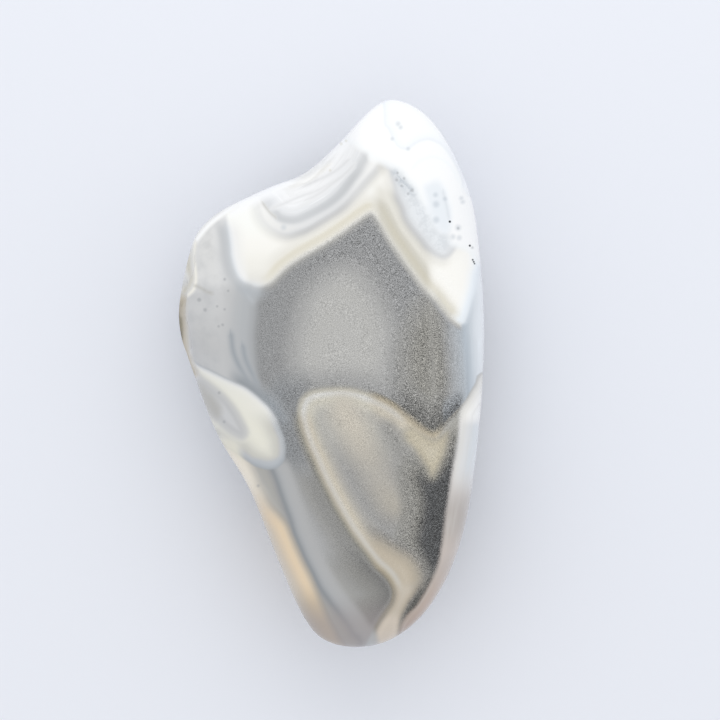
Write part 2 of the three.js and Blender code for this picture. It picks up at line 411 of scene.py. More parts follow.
class Recipe:
    """Builds a material step by step. Each step adds its nodes and gives back the socket to go on from."""

    def __init__(self, material):
        self.tree = material.node_tree
        self.colour = None

    def node(self, kind, **settings):
        node = self.tree.nodes.new(kind)
        for name, value in settings.items():
            setattr(node, name, value)
        return node

    def feed(self, socket, value):
        if isinstance(value, bpy.types.NodeSocket):
            self.tree.links.new(value, socket)
        elif socket.type == "RGBA":
            socket.default_value = (*value[:3], 1.0)
        else:
            socket.default_value = value

    def field(self, name):
        return self.node("ShaderNodeAttribute", attribute_name=name).outputs["Fac"]

    def vector(self, x, y):
        node = self.node("ShaderNodeCombineXYZ")
        self.feed(node.inputs[0], x)
        self.feed(node.inputs[1], y)
        return node.outputs[0]

    def maths(self, operation, a, b=0.0):
        node = self.node("ShaderNodeMath", operation=operation)
        self.feed(node.inputs[0], a)
        self.feed(node.inputs[1], b)
        return node.outputs[0]

    def times(self, *values):
        product = values[0]
        for value in values[1:]:
            product = self.maths("MULTIPLY", product, value)
        return product

    def plus(self, a, b):
        return self.maths("ADD", a, b)

    def larger(self, a, b):
        return self.maths("MAXIMUM", a, b)

    def step(self, value, start, end, low=0.0, high=1.0):
        """Goes smoothly from low to high as the value goes from start to end."""
        node = self.node("ShaderNodeMapRange", interpolation_type="SMOOTHSTEP")
        self.feed(node.inputs["Value"], value)
        node.inputs["From Min"].default_value = start
        node.inputs["From Max"].default_value = end
        node.inputs["To Min"].default_value = low
        node.inputs["To Max"].default_value = high
        return node.outputs["Result"]

    def within(self, value, start, full, fade, end):
        """Rises from 0 to 1 as the value goes from start to full, and falls again from fade to end."""
        return self.times(self.step(value, start, full), self.step(value, end, fade))

    def mix(self, factor, a, b):
        """Mixes two colours. Inputs 6 and 7 and output 2 are the node's sockets for colours."""
        node = self.node("ShaderNodeMix", data_type="RGBA")
        self.feed(node.inputs[0], factor)
        self.feed(node.inputs[6], a)
        self.feed(node.inputs[7], b)
        return node.outputs[2]

    def paint(self, factor, colour):
        self.colour = self.mix(factor, self.colour, colour)

    def ramp(self, value, stops, blush=USUAL_BLUSH):
        """A colour and a cover that change with a value.

        A stop is its value, gray level, warmth and cover, which is full where it is left out.
        """
        first, last = stops[0][0], stops[-1][0]
        spread = self.node("ShaderNodeMapRange")
        self.feed(spread.inputs["Value"], value)
        spread.inputs["From Min"].default_value = first
        spread.inputs["From Max"].default_value = last
        node = self.node("ShaderNodeValToRGB")
        node.color_ramp.interpolation = "CARDINAL"
        elements = node.color_ramp.elements
        for place, gray, warmth, *cover in stops:
            if place == first:
                element = elements[0]
            elif place == last:
                element = elements[-1]
            else:
                element = elements.new((place - first) / (last - first))
            element.color = (*shade(gray, warmth, blush), *(cover or (1.0,)))
        self.feed(node.inputs["Fac"], spread.outputs["Result"])
        return node.outputs["Color"], node.outputs["Alpha"]

    def lay(self, value, stops, mask=None, blush=USUAL_BLUSH):
        """Paints a run of bands over what is there."""
        colour, cover = self.ramp(value, stops, blush)
        self.paint(cover if mask is None else self.times(cover, mask), colour)

    def noise(self, place, scale, detail=2.0, roughness=0.5):
        node = self.node("ShaderNodeTexNoise")
        self.feed(node.inputs["Vector"], place)
        node.inputs["Scale"].default_value = scale
        node.inputs["Detail"].default_value = detail
        node.inputs["Roughness"].default_value = roughness
        return self.maths("SUBTRACT", node.outputs["Fac"], 0.5)

    def vector_maths(self, operation, a, b):
        node = self.node("ShaderNodeVectorMath", operation=operation)
        self.feed(node.inputs[0], a)
        self.feed(node.inputs[1], b)
        return node.outputs["Value" if operation == "DISTANCE" else "Vector"]

    def dots(self, plan, dots, soft):
        """One mask for a set of round inclusions."""
        mask = None
        for (x, y), radius in zip(plan_mm([d[:2] for d in dots]), (d[2] / PIXELS_PER_MM for d in dots)):
            gap = self.vector_maths("DISTANCE", plan, (x, y, 0.0))
            dot = self.step(gap, radius + soft, max(radius - soft, 0.0))
            mask = dot if mask is None else self.larger(mask, dot)
        return mask


class OpalFinish(bpy.types.PropertyGroup):
    """Colours and polish of the stone."""

    cream: bpy.props.FloatVectorProperty(
        name="Cream", description="The pale bands", subtype="COLOR", default=shade(248, 7)
    )
    tan: bpy.props.FloatVectorProperty(
        name="Tan", description="The thin stain along the arch", subtype="COLOR", default=shade(196, 34)
    )
    window_gray: bpy.props.FloatVectorProperty(
        name="Window gray", description="The sandy gray of the middle", subtype="COLOR",
        default=shade(148, -1),
    )
    rind: bpy.props.FloatVectorProperty(
        name="Rind", description="The brown crust of the broken edge", subtype="COLOR", default=shade(150, 24)
    )
    polish: bpy.props.FloatProperty(
        name="Polish roughness", description="Roughness of the polished face", min=0.0, max=1.0, default=0.22
    )
    grain: bpy.props.FloatProperty(
        name="Grain", description="Contrast of the sandy grain", min=0.0, max=5.0, default=1.0
    )


class OpalStudio(bpy.types.PropertyGroup):
    """Sizes and levels of the studio."""

    frame_width: bpy.props.FloatProperty(
        name="Frame width", description="Width that the camera takes in at the level of the stone's rim",
        subtype="DISTANCE", unit="LENGTH", default=118.9 * MM,
    )
    softbox_power: bpy.props.FloatProperty(
        name="Softbox power", description="Power of the softbox", subtype="POWER", unit="POWER", default=0.30
    )
    sky_strength: bpy.props.FloatProperty(
        name="Sky strength", description="Strength of the light from all around", min=0.0, default=0.95
    )
    floor: bpy.props.FloatVectorProperty(
        name="Floor", description="Colour of the floor", subtype="COLOR", default=(0.80, 0.82, 0.88)
    )


def smooth_form():
    """A merged and subdivided copy of the solid, to grind the surface onto."""
    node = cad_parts[STONE_NODE]
    form = bpy.data.objects.new("form", node.data.copy())
    bpy.context.scene.collection.objects.link(form)
    select_only(form)
    bpy.ops.object.mode_set(mode="EDIT")
    bpy.ops.mesh.select_all(action="SELECT")
    bpy.ops.mesh.remove_doubles(threshold=MERGE_DISTANCE)
    bpy.ops.object.mode_set(mode="OBJECT")
    subdivision = form.modifiers.new("Subdivision", "SUBSURF")
    subdivision.levels = FORM_SUBDIVISIONS
    subdivision.render_levels = FORM_SUBDIVISIONS
    apply_all_modifiers(form)
    return form


def wrap_onto(piece, form):
    wrap = piece.modifiers.new("Wrap", "SHRINKWRAP")
    wrap.target = form
    wrap.wrap_method = "NEAREST_SURFACEPOINT"
    apply_all_modifiers(piece)


def relax(piece, rounds):
    select_only(piece)
    bpy.ops.object.mode_set(mode="EDIT")
    bpy.ops.mesh.select_all(action="SELECT")
    bpy.ops.mesh.vertices_smooth(factor=RELAX_FACTOR, repeat=rounds)
    bpy.ops.object.mode_set(mode="OBJECT")


def ground_surface():
    """A block rounded to a ball, stretched to the stone and ground down onto its form."""
    bpy.ops.object.select_all(action="DESELECT")
    bpy.ops.mesh.primitive_cube_add(size=1.0, calc_uvs=False, location=STONE_MIDDLE)
    stone = bpy.context.object
    stone.name = "polished_stone"
    bpy.ops.object.mode_set(mode="EDIT")
    bpy.ops.mesh.select_all(action="SELECT")
    bpy.ops.mesh.subdivide(number_cuts=SURFACE_CUTS)
    bpy.ops.transform.tosphere(value=1.0)
    bpy.ops.object.mode_set(mode="OBJECT")
    stone.scale = STONE_SIZE * BLOCK_OVERSIZE
    bpy.ops.object.transform_apply(location=True, rotation=True, scale=True)
    form = smooth_form()
    for rounds in RELAX_ROUNDS:
        wrap_onto(stone, form)
        relax(stone, rounds)
    wrap_onto(stone, form)
    bpy.data.objects.remove(form)
    return stone


def knock_off_flakes(stone):
    """Presses the surface in where flakes came off, one ball for each scar."""
    for place, radius in SCARS:
        bpy.ops.object.select_all(action="DESELECT")
        bpy.ops.mesh.primitive_ico_sphere_add(
            subdivisions=SCAR_SUBDIVISIONS, radius=radius * MM, location=Vector(place) * MM
        )
        ball = bpy.context.object
        press = stone.modifiers.new("Press", "SHRINKWRAP")
        press.target = ball
        press.wrap_method = "NEAREST_SURFACEPOINT"
        press.wrap_mode = "OUTSIDE"
        apply_all_modifiers(stone)
        bpy.data.objects.remove(ball)


def mark_bands(stone):
    """Stores on each point of the surface how far it is from the edge of each band."""
    places = marking_places(points_of(stone.data) / MM)
    for name, points in LOOPS.items():
        store_field(stone.data, name, depth_in(places, points, closed=True))
    for name, points in LINES.items():
        side = depth_in(places, points, closed=False)
        store_field(stone.data, name + "_side", side)
        store_field(stone.data, name, -np.abs(side))
    normals = np.empty(len(stone.data.vertices) * 3, np.float32)
    stone.data.vertices.foreach_get("normal", normals)
    store_field(stone.data, "upward", normals.reshape(-1, 3)[:, 2])
    store_field(stone.data, "plan_x", places[:, 0])
    store_field(stone.data, "plan_y", places[:, 1])


class OpalRecipe(Recipe):
    """The stone's material: its places, its noises and the colour painted so far."""

    def __init__(self, material, finish):
        super().__init__(material)
        self.finish = finish
        scaled = self.node("ShaderNodeTexCoord").outputs["Object"]
        self.place = self.vector_maths("MULTIPLY", scaled, (1 / MM,) * 3)
        split = self.node("ShaderNodeSeparateXYZ")
        self.feed(split.inputs[0], self.place)
        self.height = split.outputs["Z"]
        self.x = self.field("plan_x")
        self.y = self.field("plan_y")
        self.plan = self.vector(self.x, self.y)
        self.sand = self.noise(self.place, *SAND)
        waver = self.noise(self.place, *WAVER)
        self.facing_up = self.step(self.field("upward"), *FACE_ENDS)
        self.waver = self.times(waver, self.step(self.height, *WAVER_LEVELS, *WAVER_WIDTHS))
        self.unpolished = None

    def edge(self, name, sand=EDGE_SAND):
        """The depth inside a band, with its edge a little sandy and wavering."""
        depth = self.plus(self.field(name), self.waver)
        return self.plus(depth, self.times(self.sand, sand)) if sand else depth

    def line(self, name):
        """How far short of a thin line each place is: 0 on it and negative away from it."""
        sandy = self.times(self.sand, LINE_SAND)
        side = self.maths("ABSOLUTE", self.plus(self.field(name + "_side"), sandy))
        return self.maths("MINIMUM", self.times(side, -1.0), self.plus(self.field(name), LINE_RUN_ON))


# The painting functions lay the bands one group at a time, each over the ones before. The value of a stop is
# a depth in mm inside the band's edge, or a place on the plan in mm. The masks fade a run of bands out by its
# place in the same way: x and y are mm on the plan, and a field is mm inside its band.
def paint_flank(opal):
    """The ground colour, lighter upward partly by painted light; the window's gray rim, paler outward partly
    by painted sheen; the bluish streaks on the left.
    """
    # The ground colour grows lighter towards the top: partly the stone's own colour, partly painted light
    # from above.
    opal.colour, _ = opal.ramp(opal.y, (
        (-45, 158, 3), (-30, 168, 0), (-18, 175, -2), (-8, 182, -3), (1.2, 197, -1), (5, 196, 0),
        (10.5, 204, 0), (13.2, 206, 0), (15.2, 218, 1), (20.0, 219, 2), (24.4, 226, 2), (30, 232, 1),
    ))
    mottle = opal.noise(opal.place, 0.42, 3.0)
    opal.paint(opal.step(mottle, -0.15, 0.3, 0.0, 0.35), shade(178, -4))
    # Lighter and bluer outside the sandy zone: partly the stone, partly a painted sheen of the bright
    # surroundings on the bevel.
    upper = opal.step(opal.y, -16, -6)
    opal.lay(opal.edge("grain_zone", 0.0), (
        (-7.0, 200, 0, 0), (-5.5, 197, 0, 0.6), (-4.0, 189, -2, 0.9), (-2.5, 184, -4), (-1.3, 179, -4),
        (-0.1, 165, -3), (1.2, 151, -2),
    ), upper)
    opal.lay(opal.line("cap_streak"), ((-1.2, 184, -6, 0), (-0.5, 183, -6, 0.5), (0.0, 191, -8, 0.7)))
    streak = ((-1.0, 180, -6, 0), (-0.5, 173, -8, 0.5), (0.0, 165, -10, 0.95))
    opal.lay(opal.line("blue_streak"), streak)
    opal.lay(opal.line("far_blue_streak"), streak)


def paint_window(opal):
    """The sandy gray window in the middle, with a lighter and a darker part."""
    zone = opal.edge("grain_zone", 0.0)
    upper = opal.step(opal.y, -18, -12)
    opal.paint(opal.times(opal.step(zone, -0.6, 1.2), upper), opal.finish.window_gray)
    opal.lay(opal.edge("window_light", 0.0), (
        (-4.0, 150, 0, 0), (-1.3, 151, 0, 0.8), (0.0, 161, 1), (1.3, 169, 2), (2.6, 177, 3), (4.0, 181, 4),
        (8.0, 183, 4),
    ))
    opal.lay(opal.edge("window_dark", 0.0), (
        (-2.8, 158, 3, 0), (-1.0, 154, 4, 0.6), (0.6, 149, 5, 0.9), (2.5, 142, 7),
    ))
    opal.lay(opal.line("pale_streak"), ((-1.0, 160, 6, 0), (0.0, 161, 6, 0.6)))


def paint_around_lens(opal):
    """The window grows darker towards the lens, most of all above the notch."""
    lens = opal.edge("lens", 0.3)
    above = opal.step(opal.y, -14, -8)
    opal.lay(lens, ((-5.0, 172, 2, 0), (-3.0, 166, 2, 0.6), (-1.2, 159, 1, 0.9), (-0.4, 159, 3)), above)
    lower_left = opal.times(opal.step(opal.y, -12.5, -18.5), opal.step(opal.x, 16, 12))
    opal.lay(lens, (
        (-9.0, 178, -2, 0), (-6.5, 178, -3), (-5.2, 173, -1), (-4.1, 163, 1), (-3.0, 154, 3),
        (-2.0, 146, 3), (-0.8, 142, 4),
    ), lower_left)
    opal.lay(lens, (
        (-11.0, 172, 2, 0), (-8.2, 169, 3, 0.9), (-6.5, 163, 3), (-5.3, 155, 3), (-4.2, 146, 4),
        (-3.0, 137, 4), (-2.0, 128, 3), (-1.1, 120, 3), (-0.5, 122, 6),
    ), opal.times(opal.step(opal.y, -27.0, -33.0), opal.step(opal.x, -4.0, 0.0)))
    left = opal.times(opal.step(opal.x, -2, -5), opal.step(opal.y, -19, -12), opal.step(opal.y, 2, -4))
    opal.lay(lens, ((-7.0, 150, -4, 0), (-4.5, 143, -5, 0.9), (-0.5, 140, -2)), left)
    over_notch = opal.within(opal.x, 8.5, 14.0, 18.2, 20.0)
    opal.lay(lens, (
        (-5.5, 138, 4, 0), (-3.4, 127, 4, 0.75), (-1.8, 113, 3, 0.95), (-0.9, 108, 4), (-0.4, 120, 9),
    ), opal.times(over_notch, opal.step(opal.y, -22, -12)))


def paint_right_side(opal):
    """The bluish edge of the window on the right, paler outward as a painted sheen, and the dark arm beside
    the lens.
    """
    mask = opal.times(opal.step(opal.x, 14, 17), opal.step(opal.y, -9, -5))
    # Paler and bluer towards the right rim: a painted glancing reflection of the bright surroundings.
    opal.lay(opal.edge("grain_zone", 0.3), (
        (-3.2, 236, -8), (-2.4, 231, -9), (-1.6, 218, -11), (-1.0, 204, -14), (-0.3, 191, -16),
        (0.4, 185, -12), (1.0, 179, -9), (1.7, 173, -6), (2.5, 162, -3, 0.85), (4.0, 156, 0, 0),
    ), mask)
    by_arm = opal.times(opal.within(opal.x, 18.0, 19.0, 20.6, 22.4), opal.step(opal.y, -2.0, -4.0))
    opal.lay(opal.edge("lens", 0.3), (
        (-3.4, 160, -6, 0), (-2.4, 150, -6, 0.7), (-1.6, 134, -6, 0.9), (-1.0, 108, -4), (-0.3, 112, -3),
    ), by_arm)


def paint_cap(opal):
    """The cream cap above the arch, with the tan stain along its edge and a painted bluish sheen by the right
    face.
    """
    depth = opal.edge("arch")
    on_top = opal.step(opal.field("right_face"), 0.5, -0.4)
    cream, _ = opal.ramp(opal.y, (
        (12.0, 240, 7), (15.1, 229, 8), (17.1, 236, 9), (18.7, 240, 9), (20.1, 244, 8), (22.0, 247, 7),
        (24.4, 250, 6), (30.0, 251, 5),
    ))
    cover = opal.step(depth, -0.3, 0.6)
    opal.paint(opal.times(cover, on_top), opal.mix(opal.step(opal.x, 4.0, 10.0), cream, opal.finish.cream))
    opal.lay(depth, (
        (-2.6, 190, -6, 0), (-1.3, 184, -8, 0.6), (-0.45, 189, -7, 0.9), (0.0, 198, -5), (0.35, 214, -7),
        (0.7, 223, -6), (1.0, 227, -1), (1.4, 230, 4), (3.0, 233, 6, 0.7), (4.5, 238, 6, 0),
    ), opal.times(opal.step(opal.x, -9.0, -13.0), opal.step(opal.y, 16.5, 13.5)))
    opal.lay(depth, (
        (-3.4, 222, 0, 0), (-2.2, 211, -1, 0.7), (-1.4, 199, -3), (-0.6, 203, -5), (-0.25, 215, -6),
        (0.05, 230, -4), (0.5, 239, 1), (1.3, 240, 4, 0.8), (3.0, 244, 6, 0),
    ), opal.times(opal.step(opal.x, -13.0, -14.5), opal.within(opal.y, 13.5, 16.0, 23.0, 26.5)))
    opal.lay(depth, (
        (-1.4, 157, 0, 0), (-1.0, 153, 1, 0.7), (-0.66, 160, 2, 0.9), (-0.33, 174, 5), (0.0, 200, 6),
        (0.33, 219, 10), (0.66, 223, 15), (1.0, 221, 18), (1.3, 219, 19), (1.65, 223, 17), (2.0, 230, 12),
        (2.5, 232, 10, 0.9), (4.0, 231, 9, 0),
    ), opal.within(opal.x, -12.5, -9.0, 6.0, 8.5))
    opal.lay(depth, (
        (-0.8, 164, 2, 0), (-0.4, 170, 4, 0.8), (0.0, 185, 6), (0.3, 204, 9), (0.6, 210, 13),
        (0.9, 207, 15), (1.3, 205, 16), (1.7, 203, 17), (2.1, 205, 16), (2.5, 210, 14), (3.1, 222, 12),
        (4.6, 230, 10, 0.8), (6.5, 240, 8, 0),
    ), opal.within(opal.x, 6.0, 8.5, 15.5, 18.0))
    opal.lay(depth, (
        (-0.7, 165, -2, 0), (-0.35, 170, 0, 0.8), (0.0, 183, 4), (0.33, 200, 9), (0.66, 210, 11),
        (1.0, 215, 15), (1.3, 219, 17), (1.65, 223, 15), (2.0, 231, 12), (2.3, 238, 10), (2.65, 244, 8),
        (3.1, 247, 7, 0.9), (4.5, 249, 5, 0),
    ), opal.times(on_top, opal.step(opal.x, 15.5, 18.0)))
    tan_run = opal.times(opal.step(opal.x, 8.0, 10.5), opal.step(opal.x, 18.5, 16.0))
    opal.paint(opal.times(opal.within(depth, 0.6, 1.3, 1.5, 2.2), tan_run, 0.2), opal.finish.tan)
    # Bluer towards the right face: a painted glancing reflection of the bright surroundings.
    opal.lay(opal.edge("right_face"), (
        (-2.2, 250, -2, 0), (-1.0, 247, -8, 0.6), (-0.3, 240, -12, 0.9), (0.3, 234, -13, 0.6),
        (1.0, 231, -10, 0),
    ), opal.step(depth, 0.0, 1.0))


def paint_left_lobe(opal):
    """The left lobe in the cap: its gray rim, its heart and its fine strands."""
    facet = opal.step(opal.field("tip_facet"), 0.5, -1.2)
    on_cap = opal.times(opal.step(opal.field("arch"), 0.4, 1.2), facet)
    depth = opal.edge("left_lobe")
    between, _ = opal.ramp(opal.x, (
        (-12.0, 239, 4), (-7.5, 229, 2), (-3.0, 222, 0), (1.0, 223, 0), (4.0, 232, 1), (8.0, 243, 3),
    ))
    opal.paint(opal.times(on_cap, opal.step(depth, -0.1, 0.8)), between)
    strength = opal.times(opal.step(opal.x, -12.0, -3.5, 0.35, 1.0), opal.step(opal.x, 1.0, 4.5, 1.0, 0.7))
    opal.lay(depth, (
        (-1.7, 233, 10, 0), (-1.0, 226, 9, 0.7), (-0.5, 213, 5, 0.95), (-0.15, 202, 2), (0.2, 202, 0),
        (0.55, 212, -1, 0.9), (1.1, 222, -1, 0),
    ), opal.times(on_cap, strength))
    heart = opal.edge("lobe_heart")
    opal.lay(heart, (
        (-0.4, 222, -2, 0), (0.2, 222, -2), (1.2, 227, -2), (1.7, 232, -2), (2.3, 238, -1), (3.5, 243, 0),
        (6.0, 250, 1),
    ), on_cap)
    strength = opal.times(opal.step(opal.x, -10.8, -8.4, 0.1, 1.0), opal.step(opal.x, 3.5, 5.5, 1.0, 0.55))
    opal.lay(heart, (
        (-1.0, 221, -2, 0), (-0.5, 213, -2, 0.7), (-0.1, 203, -3), (0.4, 203, -3), (0.85, 213, -3, 0.9),
        (1.5, 226, -2, 0),
    ), opal.times(on_cap, strength))
    strands = opal.noise(opal.vector(opal.field("lobe_heart"), opal.times(opal.x, 0.07)), 1.5, 3.0, 0.6)
    inner = opal.times(opal.step(heart, 0.6, 2.0), on_cap, 0.55)
    opal.paint(opal.times(inner, opal.step(strands, 0.02, 0.16)), shade(231, 1))
    opal.paint(opal.times(inner, opal.step(strands, -0.02, -0.14)), shade(252, 3))
    thread = ((-0.8, 240, 0, 0), (-0.35, 235, 0, 0.5), (0.0, 227, 0, 0.9))
    for name in ("lobe_thread", "long_thread", "upper_thread"):
        opal.lay(opal.line(name), thread, on_cap)
    opal.lay(opal.line("cream_thread"), ((-0.9, 248, 6, 0), (0.0, 244, 10, 0.8)), on_cap)
    opal.lay(opal.line("heart_start"), ((-0.5, 222, 2, 0), (0.0, 200, 6, 0.8)), on_cap)
    opal.lay(opal.line("white_shoulder"), (
        (-2.2, 252, 2, 0), (-1.2, 253, 2, 0.7), (-0.4, 254, 2, 0.95),
    ), on_cap)


def paint_right_lobe(opal):
    """The bluish right lobe and its speckled patch."""
    on_cap = opal.step(opal.field("arch"), 0.4, 1.2)
    depth = opal.edge("right_lobe")
    opal.lay(depth, (
        (-0.2, 225, 2, 0), (0.5, 222, -2), (1.3, 227, -4), (2.3, 228, -6), (4.0, 233, -7), (6.0, 243, -6),
    ), on_cap)
    along = opal.within(opal.y, 18.7, 21.5, 28.0, 31.5)
    strength = opal.times(opal.step(along, 0.0, 1.0, 0.4, 1.0), opal.step(opal.x, 18.5, 20.5, 1.0, 0.2))
    opal.lay(depth, (
        (-1.7, 230, 11, 0), (-1.0, 222, 11, 0.7), (-0.5, 212, 8, 0.9), (0.0, 203, 2), (0.3, 206, -1),
        (0.7, 216, -3, 0.9), (1.4, 229, -6, 0),
    ), opal.times(on_cap, strength))
    opal.paint(opal.times(opal.step(depth, 0.5, 2.0), on_cap, 0.5), opal.mix(
        opal.step(opal.noise(opal.place, 0.7, 4.0, 0.7), -0.1, 0.1), shade(220, -7), shade(240, -6)))
    mottle = opal.noise(opal.place, 1.1, 3.0, 0.65)
    patch = opal.step(opal.edge("speckled"), -0.5, 0.6)
    opal.paint(opal.times(patch, opal.step(mottle, -0.10, 0.10, 0.25, 1.0)), shade(203, -11))


def paint_tip(opal):
    """The white tip, partly its pale colour and partly a painted reflection of the softbox, with its faint
    curl and its gray island.
    """
    facet = opal.edge("tip_facet", 0.0)
    # The near white of the tip facet: partly the stone's pale colour, partly a painted reflection of the
    # softbox.
    white = ((-1.0, 248, -3, 0), (-0.2, 249, -4, 0.7), (0.6, 252, -3), (3.0, 253, -2))
    by_edge = opal.times(opal.step(opal.x, 18.5, 20.5), opal.step(opal.y, 17.0, 20.0))
    opal.lay(facet, white, opal.larger(opal.step(opal.y, 25.0, 28.5), by_edge))
    opal.lay(opal.edge("above_curl", 0.0), (
        (-0.5, 254, -2, 0), (-0.2, 250, -4, 0.7), (0.1, 243, -5), (0.5, 247, -5), (1.2, 251, -5),
        (3.0, 252, -5),
    ))
    opal.lay(opal.line("faint_curl"), ((-0.7, 253, -3, 0), (0.0, 249, -5, 0.9)))
    opal.lay(opal.edge("island", 0.0), (
        (-1.0, 250, -4, 0), (-0.3, 246, -6, 0.5), (0.5, 240, -8), (2.0, 239, -9),
    ), opal.step(opal.y, 33.0, 30.5, 0.6, 1.0))
    opal.lay(opal.line("island_edge"), ((-0.7, 240, -8, 0), (0.0, 228, -9, 0.8)))


def paint_lens(opal):
    """The lens with its tan rim, its glow, its dark stripe and the blot in the notch above."""
    depth = opal.edge("lens", 0.2)
    opal.lay(depth, (
        (-0.5, 160, 5, 0), (-0.2, 156, 13, 0.8), (0.1, 166, 19), (0.4, 183, 18), (0.7, 195, 14),
        (1.0, 199, 14), (1.4, 195, 20), (1.75, 192, 22), (2.1, 187, 19), (2.5, 179, 14), (3.0, 170, 9),
        (3.6, 164, 5), (4.3, 159, 3), (6.0, 156, 3),
    ), blush=0.34)
    opal.lay(depth, (
        (1.6, 192, 18, 0), (2.4, 184, 13, 0.8), (3.0, 179, 9), (4.0, 178, 8), (6.0, 178, 9),
    ), opal.step(opal.y, -17.0, -8.0))
    opal.lay(depth, (
        (-0.8, 160, 5, 0), (-0.3, 165, 8, 0.9), (0.0, 178, 13), (0.33, 193, 12), (0.66, 206, 6),
        (1.0, 205, 8), (1.4, 201, 13), (1.8, 196, 16), (2.5, 192, 13, 0.9), (3.6, 189, 11, 0),
    ), opal.times(opal.step(opal.y, -8.5, -5.5), opal.step(opal.x, 8.5, 5.5)))
    below = opal.step(opal.y, -5.5, -8.5)
    outside = opal.larger(opal.step(opal.x, 5.0, 2.0), opal.step(opal.y, -20.0, -24.0))
    opal.lay(depth, (
        (-1.4, 145, 4, 0), (-1.0, 144, 4, 0.7), (-0.65, 138, 6), (-0.4, 143, 10), (-0.15, 153, 16, 0.7),
        (0.15, 166, 19, 0),
    ), opal.times(below, outside))
    opal.lay(depth, (
        (-1.0, 134, 10, 0), (-0.66, 136, 16, 0.8), (-0.33, 151, 24), (0.0, 167, 26), (0.33, 184, 20),
        (0.66, 193, 14), (1.0, 194, 14), (1.3, 192, 19), (2.0, 186, 20), (2.6, 178, 14), (3.3, 171, 10),
        (4.5, 163, 6, 0),
    ), opal.within(opal.x, 5.5, 8.5, 10.5, 13.5), blush=0.34)
    opal.lay(depth, (
        (-0.9, 123, 6, 0), (-0.5, 135, 14), (-0.2, 148, 22), (0.1, 164, 27), (0.5, 180, 30), (1.0, 192, 30),
        (1.6, 197, 24), (2.4, 194, 22, 0),
    ), opal.within(opal.x, 10.5, 13.5, 17.0, 19.0), blush=0.34)
    opal.lay(depth, (
        (-0.5, 117, 4, 0), (-0.1, 138, 5, 0.8), (0.2, 160, 6), (0.6, 172, 7), (1.0, 176, 8), (1.5, 172, 8),
        (2.4, 160, 8),
    ), opal.step(opal.x, 17.5, 19.5))
    glow, _ = opal.ramp(opal.y, (
        (-25.0, 163, 13), (-21.0, 172, 15), (-17.0, 174, 12), (-14.0, 179, 15), (-9.0, 191, 19),
    ), blush=0.35)
    near = opal.step(opal.line("lens_glow"), -4.4, 0.0)
    opal.paint(opal.times(near, opal.step(opal.y, -26.5, -22.0)), glow)
    opal.lay(opal.line("lens_shade"), ((-2.4, 160, 4, 0), (-1.2, 155, 4, 0.5), (0.0, 147, 4, 0.8)))
    stripe = opal.edge("dark_stripe", 0.5)
    inside = opal.step(opal.field("lens"), 0.2, 1.2)
    opal.lay(stripe, (
        (-4.4, 154, 6, 0), (-3.2, 147, 6, 0.7), (-1.9, 142, 6, 0.95), (-1.2, 138, 6), (-0.7, 131, 6),
        (0.0, 111, 4), (0.7, 93, 1), (1.3, 82, -1), (2.5, 80, -1),
    ), opal.times(inside, opal.step(opal.y, -34.5, -31.5), opal.step(opal.y, -10.0, -16.5, 0.4, 1.0)))
    opal.lay(stripe, (
        (-0.9, 150, 10, 0), (-0.4, 136, 8, 0.6), (0.0, 120, 6), (0.5, 99, 5), (1.5, 96, 4),
    ), opal.times(inside, opal.within(opal.y, -42.5, -39.5, -34.5, -31.5)))
    opal.lay(opal.edge("notch_blot", 0.3), (
        (-1.2, 150, 10, 0), (-0.3, 165, 18, 0.5), (0.4, 178, 26, 0.9), (1.1, 188, 27), (2.4, 195, 24),
    ), opal.step(opal.field("lens"), 0.1, 0.9), blush=0.3)


def paint_fork(opal):
    """The fork that runs down out of the lens."""
    depth = opal.edge("fork", 0.2)
    low = opal.step(opal.y, -34.0, -37.0)
    clear = opal.times(opal.step(opal.field("lens"), 0.7, 1.7), opal.step(opal.x, 4.0, 8.5))
    opal.lay(depth, (
        (-2.2, 137, 5, 0), (-1.6, 138, 6, 0.5), (-0.9, 147, 11, 0.85), (0.0, 164, 20), (0.9, 175, 26),
        (1.8, 184, 27), (2.7, 190, 24),
    ), opal.times(clear, opal.step(opal.y, -37.0, -34.0)), blush=0.38)
    opal.lay(depth, (
        (-1.0, 118, 4, 0), (-0.5, 132, 9, 0.8), (-0.1, 158, 20), (0.3, 178, 25), (0.8, 187, 24),
        (1.4, 189, 22),
    ), opal.times(low, opal.step(opal.field("lens"), -0.6, -0.1)), blush=0.4)
    foot = opal.times(opal.step(opal.y, -39.0, -41.0), opal.step(opal.field("lens"), -0.4, 0.1))
    opal.lay(depth, (
        (-0.5, 135, 8, 0), (-0.15, 155, 14, 0.9), (0.2, 182, 23), (0.6, 198, 25), (1.4, 197, 25),
    ), foot, blush=0.45)


